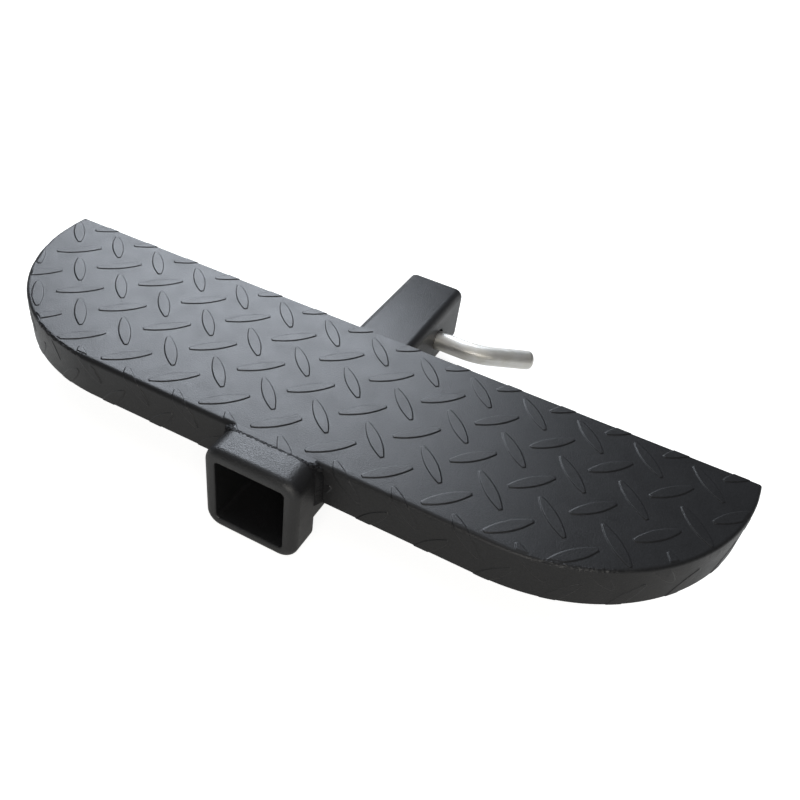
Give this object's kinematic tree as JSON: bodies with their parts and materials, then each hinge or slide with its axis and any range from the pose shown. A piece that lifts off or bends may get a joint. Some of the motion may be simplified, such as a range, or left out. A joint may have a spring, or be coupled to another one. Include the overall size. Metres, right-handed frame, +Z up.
{
  "type": "hitch receiver step",
  "caption": "Hitch step with a rounded tread-plate deck over a receiver tube, a collared socket in front, and a square shank at the back held by a bent pin.",
  "frame": {"origin": "on the shank's axis, at the middle of its pin hole", "axes": "+X along the deck, to the right for someone facing the vehicle; +Y along the shank towards the vehicle; +Z up, out of the deck"},
  "size_m": [0.5813, 0.284, 0.07],
  "materials": {
    "powder_coat": "fine-textured black powder coat, semi-matt",
    "pin_metal": "bright zinc plate"
  },
  "bodies": {
    "step": {"tread_deck": "powder_coat", "corner_weld_left": "powder_coat", "corner_weld_right": "powder_coat", "receiver_tube": "powder_coat", "receiver_collar": "powder_coat", "deck_front_weld": "powder_coat", "collar_side_weld_left": "powder_coat", "collar_side_weld_right": "powder_coat", "collar_tube_weld": "powder_coat", "hitch_shank": "powder_coat", "shank_weld": "powder_coat", "deck_tube_weld_left": "powder_coat", "deck_tube_weld_right": "powder_coat"},
    "pin": {"hitch_pin": "pin_metal"}
  },
  "joints": [
    {"name": "pin_slide", "type": "slide", "parent": "step", "child": "pin", "axis": [1, 0, 0], "range_m": [-0.022, 0.055]}
  ]
}
